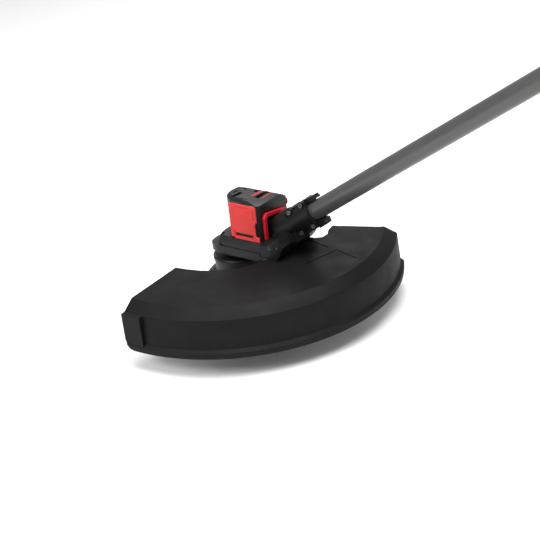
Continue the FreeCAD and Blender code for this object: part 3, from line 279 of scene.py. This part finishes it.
def mm(*numbers):
    return Vector(n / 1000 for n in numbers)


# ------------------------------------------------------------ pieces

# CAD nodes shown as bevelled copies, with the bevel's width in mm
BEVELLED = {
    "guard": 0.6, "gearcase": 1.5, "gearcase_cover": 1.6, "motor_housing": 1.2, "motor_cover": 1.4,
    "side_panel_right": 0.5, "side_panel_left": 0.5, "arch_trim": 0.8, "yoke": 0.8, "clamp_left": 0.8,
    "clamp_right": 0.8, "clamp_bolts": 0.4, "yoke_bolts": 0.4, "spool_housing": 0.8, "spool_cap": 0.6,
    "bump_knob": 0.7, "front_handle": 1.0, "handle_cap": 1.2, "handle_knob": 0.8, "hanger_band": 0.8,
    "rear_housing_left": 1.2, "rear_housing_right": 1.2, "trigger": 1.0, "lock_off_lever": 0.8,
    "power_button": 0.4, "speed_selector": 0.3, "battery_case": 1.6, "battery_base": 1.6,
    "battery_latch_right": 0.8, "battery_latch_left": 0.8, "battery_rails": 0.4, "spool": 0.4,
    "line_cutter": 0.2, "gearcase_screws": 0.3, "guard_screws": 0.3, "handle_bolts": 0.4,
    "line_eyelets": 0.3,
}
CREASE = math.radians(30)


def finished(piece, node):
    """Material, slot and body of a piece that stands for a CAD node."""
    slot_name = SLOT_OF[node]
    piece.data.materials.clear()
    piece.data.materials.append(MATERIALS[slot_name])
    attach(piece, BODY_OF[node])
    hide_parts(node)
    return piece


def clean_copy(node):
    """The CAD node's mesh as joined, mostly flat faces, ready to be bevelled."""
    mesh = NODES[node].data.copy()
    mesh.name = node + "_fine"
    work = bmesh.new()
    work.from_mesh(mesh)
    bmesh.ops.remove_doubles(work, verts=work.verts, dist=2e-6)
    bmesh.ops.dissolve_limit(work, angle_limit=math.radians(0.5), verts=work.verts, edges=work.edges)
    for face in work.faces:
        face.smooth = True
    work.to_mesh(mesh)
    work.free()
    if "custom_normal" in mesh.attributes:
        mesh.attributes.remove(mesh.attributes["custom_normal"])
    mesh.set_sharp_from_angle(angle=CREASE)
    piece = bpy.data.objects.new(node + "_fine", mesh)
    bpy.context.scene.collection.objects.link(piece)
    return piece


def softened(piece, width, segments=2):
    bevel = piece.modifiers.new("edges", "BEVEL")
    bevel.width, bevel.segments = width / 1000, segments
    bevel.limit_method, bevel.angle_limit = "ANGLE", CREASE
    bevel.harden_normals = True
    return piece


def block_mesh(name, blocks):
    work = bmesh.new()
    for block in blocks:
        bmesh.ops.create_cube(work, size=1, matrix=block)
    mesh = bpy.data.meshes.new(name)
    work.to_mesh(mesh)
    work.free()
    thing = bpy.data.objects.new(name, mesh)
    bpy.context.scene.collection.objects.link(thing)
    return thing


def carve(piece, blocks):
    """Cuts slots and grooves into a piece."""
    tool = block_mesh("tool", blocks)
    cut = piece.modifiers.new("slots", "BOOLEAN")
    cut.object, cut.operation, cut.solver = tool, "DIFFERENCE", "EXACT"
    bpy.context.view_layer.update()
    carved = bpy.data.meshes.new_from_object(piece.evaluated_get(bpy.context.evaluated_depsgraph_get()))
    piece.modifiers.clear()
    piece.data = carved
    carved.set_sharp_from_angle(angle=CREASE)
    bpy.data.objects.remove(tool)
    if not carved.polygons:
        raise RuntimeError("nothing is left of " + piece.name)
    return piece


def added(name, blocks, slot_name, body, width=0.4):
    """A moulded or fitted detail made of blocks, with softened edges."""
    piece = block_mesh(name, blocks)
    piece.data.materials.append(MATERIALS[slot_name])
    for face in piece.data.polygons:
        face.use_smooth = True
    piece.data.set_sharp_from_angle(angle=CREASE)
    softened(piece, width)
    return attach(piece, body)


# ------------------------------------------------------------ motor box

# lowest and highest (y, z) of each groove, in mm
PANEL_GROOVES = (((-54, 158.4), (-31, 159.4)), ((-56, 153.4), (-45, 154.2)), ((-59.2, 142), (-58.4, 156)))


GROOVE_DEPTH, TOOL_REACH = 0.0007, 0.002


def panel_cuts(side, top):
    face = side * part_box("side_panel_right")[1].x
    near, far = sorted((face - side * GROOVE_DEPTH, face + side * TOOL_REACH))
    cuts = []
    for low, high in PANEL_GROOVES:
        if high[1] / 1000 < top:
            cuts.append(level_block((near, *mm(*low)), (far, *mm(*high))))
    return cuts


STRIP_STEPS, STRIP_SINK, STRIP_EDGE = 16, 0.001, 0.3


def laid_strip(name, node, start, end, width, height, slot_name):
    """A thin strip that follows a CAD node's upper surface between two plan points."""
    mesh = NODES[node].data
    tree = BVHTree.FromPolygons([v.co for v in mesh.vertices], [p.vertices for p in mesh.polygons])
    start, end = Vector((*start, 0)), Vector((*end, 0))
    side = (end - start).normalized().cross(Vector((0, 0, 1))) * width / 2
    work = bmesh.new()
    rings = []
    for step in range(STRIP_STEPS + 1):
        spot = start.lerp(end, step / STRIP_STEPS)
        top = tree.ray_cast(spot + Vector((0, 0, 1)), Vector((0, 0, -1)))[0].z
        corners = [spot + way * side + Vector((0, 0, top + lift))
                   for way, lift in ((-1, -STRIP_SINK), (1, -STRIP_SINK), (1, height), (-1, height))]
        rings.append([work.verts.new(corner) for corner in corners])
    for ring, after in zip(rings, rings[1:]):
        for k in range(4):
            work.faces.new((ring[k], ring[(k + 1) % 4], after[(k + 1) % 4], after[k]))
    work.faces.new(rings[0])
    work.faces.new(rings[-1])
    bmesh.ops.recalc_face_normals(work, faces=work.faces)
    strip = bpy.data.meshes.new(name)
    work.to_mesh(strip)
    work.free()
    piece = bpy.data.objects.new(name, strip)
    bpy.context.scene.collection.objects.link(piece)
    strip.materials.append(MATERIALS[slot_name])
    softened(piece, STRIP_EDGE)
    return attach(piece, BODY_OF[node])


# name, plan start and end in mm, width and height in metres
ACCENTS = (
    ("vent_accent_front", (-13, -41.5), (22, -41.5), 0.0034, 0.0006),
    ("vent_accent_rear", (-10, -56.5), (20, -56.5), 0.0016, 0.0004),
)
RIM_SINK, RIM_RISE, RIM_EDGE = 0.0004, 0.0006, 0.3
RIM_REAR, RIM_TAB, RIM_FRONT = -0.0575, -0.0245, -0.0185
RIM_FOOT, RIM_TOP, TAB_TOP = 0.0003, 0.0028, 0.0135


def trim_motor_box():
    """Red accents on the cover, and a raised lip with a tab along each side panel's foot."""
    for name, start, end, width, height in ACCENTS:
        laid_strip(name, "motor_cover", mm(*start), mm(*end), width, height, "arch_red")
    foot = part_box("side_panel_left")[0].z
    for name, side in (("right", 1), ("left", -1)):
        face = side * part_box("side_panel_right")[1].x
        near, far = sorted((face - side * RIM_SINK, face + side * RIM_RISE))
        rim = level_block((near, RIM_REAR, foot + RIM_FOOT), (far, RIM_FRONT, foot + RIM_TOP))
        tab = level_block((near, RIM_TAB, foot + RIM_FOOT), (far, RIM_FRONT, foot + TAB_TOP))
        added("panel_rim_" + name, [rim, tab], "panel_red", BODY_OF["side_panel_left"], RIM_EDGE)


# ------------------------------------------------------------ head, handles and battery

BEAD_STEPS = 32
# across the bead's width, and out from the bar, as shares of its width and height
BEAD_PROFILE = ((-0.5, -0.4), (-0.42, 0.55), (-0.2, 0.93), (0.2, 0.93), (0.42, 0.55), (0.5, -0.4))


def beads(name, rings, slot_name, body):
    """Rounded ribs that run right round a bar: each ring is (centre, u, v, bar radius, width, height)."""
    work = bmesh.new()
    for centre, u, v, radius, width, height in rings:
        axis = u.cross(v).normalized()
        loops = []
        for step in range(BEAD_STEPS):
            angle = 2 * math.pi * step / BEAD_STEPS
            out = u * math.cos(angle) + v * math.sin(angle)
            loops.append([work.verts.new(centre + axis * along * width + out * (radius + lift * height))
                          for along, lift in BEAD_PROFILE])
        for k in range(BEAD_STEPS):
            near, far = loops[k], loops[(k + 1) % BEAD_STEPS]
            for j in range(len(BEAD_PROFILE)):
                after = (j + 1) % len(BEAD_PROFILE)
                work.faces.new((near[j], near[after], far[after], far[j]))
    bmesh.ops.recalc_face_normals(work, faces=work.faces)
    mesh = bpy.data.meshes.new(name)
    work.to_mesh(mesh)
    work.free()
    for face in mesh.polygons:
        face.use_smooth = True
    piece = bpy.data.objects.new(name, mesh)
    bpy.context.scene.collection.objects.link(piece)
    mesh.materials.append(MATERIALS[slot_name])
    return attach(piece, body)


GRIP_START, RING_MARGIN = math.radians(25), math.radians(7)
RING_COUNT, RING_WIDTH, RING_HEIGHT = 15, 0.0042, 0.0009


def dress_front_handle():
    """Moulded rings round the loop's rubber grip."""
    low, high = shaft_box("handle_grip")
    bar = (high.z - low.z) / 2
    outer = high.x / math.cos(GRIP_START)
    middle = Vector((0, high.y - outer, (low.z + high.z) / 2))
    first = GRIP_START + RING_MARGIN
    sweep = math.pi - 2 * first
    rings = []
    for k in range(RING_COUNT):
        angle = first + sweep * k / (RING_COUNT - 1)
        out = Vector((math.cos(angle), math.sin(angle), 0))
        centre = middle + out * (outer - bar)
        rings.append((SHAFT @ centre, SHAFT @ out, ALONG, bar, RING_WIDTH, RING_HEIGHT))
    beads("grip_rings", rings, "grip_rubber", BODY_OF["handle_grip"])


SCREW_ABOVE_BAND, SCREW_APART = 0.0055, 0.0047
SCREW_RADIUS, SCREW_WIDTH, SCREW_HEIGHT = 0.0022, 0.003, 0.0012


def dress_hanger():
    """A ring on each face of the hanger, on the strap eye's lower edge."""
    low, high = shaft_box("hanger_band")
    along = (low.z + high.z) / 2
    over = low.y + (high.x - low.x) + SCREW_ABOVE_BAND
    spot = SHAFT @ Vector((0, over, along))
    rings = [(spot + ACROSS * side * SCREW_APART, OVER, ALONG, SCREW_RADIUS, SCREW_WIDTH, SCREW_HEIGHT)
             for side in (-1, 1)]
    beads("hanger_screw", rings, "screw_steel", BODY_OF["hanger_band"])


RIBS_FROM, RIB_PITCH, RIB_COUNT = 0.112, 0.006, 9
RIB_HALF, RIB_RISE, RIB_SINK, RIB_EDGE = 0.011, 0.0006, 0.001, 0.25
GRIP_HALF = 0.017


def dress_rear_grip():
    """Rubber ribs on both cheeks of the rear grip."""
    low = shaft_box("rear_housing_left")[0]
    axis = sum(corner.y for corner in shaft_box("shaft_tube")) / 2
    for name, side in (("right", 1), ("left", -1)):
        near, far = sorted((side * (GRIP_HALF - RIB_SINK), side * (GRIP_HALF + RIB_RISE)))
        blocks = []
        for k in range(RIB_COUNT):
            along = low.z + RIBS_FROM + k * RIB_PITCH
            end = along + RIB_PITCH / 2
            blocks.append(shaft_block((near, axis - RIB_HALF, along), (far, axis + RIB_HALF, end)))
        added("grip_ribs_" + name, blocks, "grip_rubber", BODY_OF["rear_housing_left"], RIB_EDGE)


VENT_COUNT, VENT_PITCH, VENT_HALF, VENT_DEPTH = 6, 0.008, 0.0015, 0.0012
VENT_BELOW_TOP, VENT_START, VENT_END = 0.030, 0.052, 0.018


def rear_vents(side):
    """Shallow louvres on the electronics box, ahead of the battery."""
    high = shaft_box("rear_housing_right")[1]
    face = side * high.x
    near, far = sorted((face - side * VENT_DEPTH, face + side * TOOL_REACH))
    cuts = []
    for k in range(VENT_COUNT):
        over = high.y - VENT_BELOW_TOP - k * VENT_PITCH
        cuts.append(shaft_block((near, over - VENT_HALF, high.z - VENT_START),
                                (far, over + VENT_HALF, high.z - VENT_END)))
    return cuts


GAUGE_HALF, GAUGE_LOW, GAUGE_HIGH = 0.019, 0.028, 0.040
GAUGE_SINK, GAUGE_RISE, GAUGE_EDGE = 0.001, 0.0006, 0.4
WINDOW_SPOTS = (-0.0135, -0.0065, 0.0005, 0.0075)
WINDOW_HALF, WINDOW_LOW, WINDOW_HIGH, WINDOW_RISE, WINDOW_EDGE = 0.0022, 0.032, 0.036, 0.0010, 0.2
BUTTON_ACROSS, BUTTON_OVER, BUTTON_OUT = 0.0145, 0.034, 0.0004
BUTTON_RADIUS, BUTTON_WIDTH, BUTTON_HEIGHT = 0.0014, 0.0018, 0.0012


def dress_battery():
    """A charge gauge with four windows and a button on the battery's end."""
    low, high = shaft_box("battery_base")
    face = high.z
    middle = (low.y + high.y) / 2
    body = BODY_OF["battery_base"]
    plate = shaft_block((-GAUGE_HALF, middle + GAUGE_LOW, face - GAUGE_SINK),
                        (GAUGE_HALF, middle + GAUGE_HIGH, face + GAUGE_RISE))
    added("gauge_plate", [plate], "latch_black", body, GAUGE_EDGE)
    windows = [shaft_block((x - WINDOW_HALF, middle + WINDOW_LOW, face),
                           (x + WINDOW_HALF, middle + WINDOW_HIGH, face + WINDOW_RISE))
               for x in WINDOW_SPOTS]
    added("gauge_windows", windows, "fan_plastic", body, WINDOW_EDGE)
    spot = SHAFT @ Vector((BUTTON_ACROSS, middle + BUTTON_OVER, face + BUTTON_OUT))
    ring = (spot, ACROSS, OVER, BUTTON_RADIUS, BUTTON_WIDTH, BUTTON_HEIGHT)
    beads("gauge_button", [ring], "button_red", body)


LATCH_RIBS = (0.004, 0.0075, 0.011)
LATCH_RIB_WIDTH, LATCH_MARGIN, LATCH_SINK, LATCH_RISE, LATCH_EDGE = 0.0014, 0.004, 0.0006, 0.0005, 0.2


def dress_latches():
    """Finger ribs on the battery's two latches."""
    for name, side in (("right", 1), ("left", -1)):
        node = "battery_latch_" + name
        low, high = shaft_box(node)
        face = side * max(abs(low.x), abs(high.x))
        near, far = sorted((face - side * LATCH_SINK, face + side * LATCH_RISE))
        ribs = [shaft_block((near, low.y + start, low.z + LATCH_MARGIN),
                            (far, low.y + start + LATCH_RIB_WIDTH, high.z - LATCH_MARGIN))
                for start in LATCH_RIBS]
        added("latch_ribs_" + name, ribs, "latch_black", BODY_OF[node], LATCH_EDGE)


HEAD_RIBS, HEAD_RIB_HALF, HEAD_RIB_EDGE = 18, 0.0016, 0.4
HEAD_RIB_SINK, HEAD_RIB_RISE, HEAD_RIB_FOOT, HEAD_RIB_TOP = 0.002, 0.0007, 0.0012, 0.0135


def dress_head():
    """Upright ribs round the spool housing."""
    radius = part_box("spool_housing")[1].x
    cap_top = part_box("spool_cap")[1].z
    rib = level_block((radius - HEAD_RIB_SINK, -HEAD_RIB_HALF, cap_top + HEAD_RIB_FOOT),
                      (radius + HEAD_RIB_RISE, HEAD_RIB_HALF, cap_top + HEAD_RIB_TOP))
    blocks = [Matrix.Rotation(2 * math.pi * (k + 0.5) / HEAD_RIBS, 4, "Z") @ rib for k in range(HEAD_RIBS)]
    added("head_ribs", blocks, "head_black", BODY_OF["spool_housing"], HEAD_RIB_EDGE)


FLUTES, FLUTE_HALF = 10, 0.0022
FLUTE_INNER, FLUTE_OUTER, FLUTE_BOTTOM, FLUTE_TOP = 0.0252, 0.034, -0.001, 0.0115


def knob_flutes():
    """Grooves up the bump knob's side, for grip."""
    flute = level_block((FLUTE_INNER, -FLUTE_HALF, FLUTE_BOTTOM), (FLUTE_OUTER, FLUTE_HALF, FLUTE_TOP))
    return [Matrix.Rotation(2 * math.pi * k / FLUTES, 4, "Z") @ flute for k in range(FLUTES)]


# ------------------------------------------------------------ CAD nodes

def make_fine_copies():
    cuts = {
        "side_panel_left": panel_cuts(-1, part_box("side_panel_left")[1].z),
        "side_panel_right": panel_cuts(1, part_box("side_panel_right")[1].z),
        "rear_housing_left": rear_vents(-1),
        "rear_housing_right": rear_vents(1),
        "bump_knob": knob_flutes(),
    }
    for node, width in BEVELLED.items():
        piece = clean_copy(node)
        if cuts.get(node):
            carve(piece, cuts[node])
        finished(softened(piece, width), node)


def make_feed_spring():
    """The spring above the bump knob, copied with a mesh of its own; the real spring shortens as the knob is
    pressed in, which this copy does not.
    """
    spring = finished(clean_copy("feed_spring"), "feed_spring")
    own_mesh(spring)


def dress_cad():
    for node, thing in NODES.items():
        if node not in BEVELLED and node != "feed_spring":
            thing.data.materials.clear()
            thing.data.materials.append(MATERIALS[SLOT_OF[node]])


make_camera()
make_materials()
make_floor()
make_lights()
make_fine_copies()
make_feed_spring()
dress_cad()
trim_motor_box()
dress_front_handle()
dress_hanger()
dress_rear_grip()
dress_battery()
dress_latches()
dress_head()
